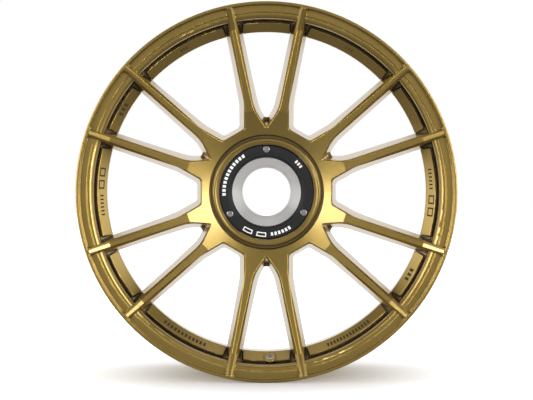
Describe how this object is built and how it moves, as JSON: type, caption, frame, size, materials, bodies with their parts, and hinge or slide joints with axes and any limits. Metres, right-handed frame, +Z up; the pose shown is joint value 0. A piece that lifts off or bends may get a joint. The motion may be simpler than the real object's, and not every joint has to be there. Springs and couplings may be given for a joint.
{
  "type": "forged racing wheel rim",
  "caption": "Forged centre-lock racing wheel rim with paired V spokes, pocketed lip, conical nut seat and black cover ring.",
  "frame": {"origin": "wheel centre: on the wheel axis, at the rim mid-plane", "axes": "the wheel turns about Y, +Y towards the vehicle (mounting side), -Y the outer face, +Z up through one pair of spokes, +X right when the outer face is looked at"},
  "size_m": [0.5429, 0.254, 0.543],
  "materials": {
    "gold_paint": "satin",
    "bare_metal": "machined",
    "black_anodised": "satin anodised",
    "screw_steel": "bright",
    "bush_steel": "ground"
  },
  "bodies": {
    "root": {"wheel_forging": "gold_paint", "nut_seat_insert": "bare_metal", "cover_ring": "black_anodised", "cover_screw_1": "screw_steel", "screw_insert_1": "screw_steel", "cover_screw_2": "screw_steel", "screw_insert_2": "screw_steel", "cover_screw_3": "screw_steel", "screw_insert_3": "screw_steel", "pin_bush_01": "bush_steel", "pin_bush_02": "bush_steel", "pin_bush_03": "bush_steel", "pin_bush_04": "bush_steel", "pin_bush_05": "bush_steel", "pin_bush_06": "bush_steel", "pin_bush_07": "bush_steel", "pin_bush_08": "bush_steel", "pin_bush_09": "bush_steel", "pin_bush_10": "bush_steel", "pin_bush_11": "bush_steel", "pin_bush_12": "bush_steel", "pin_bush_13": "bush_steel", "pin_bush_14": "bush_steel", "pin_bush_15": "bush_steel"}
  },
  "joints": []
}
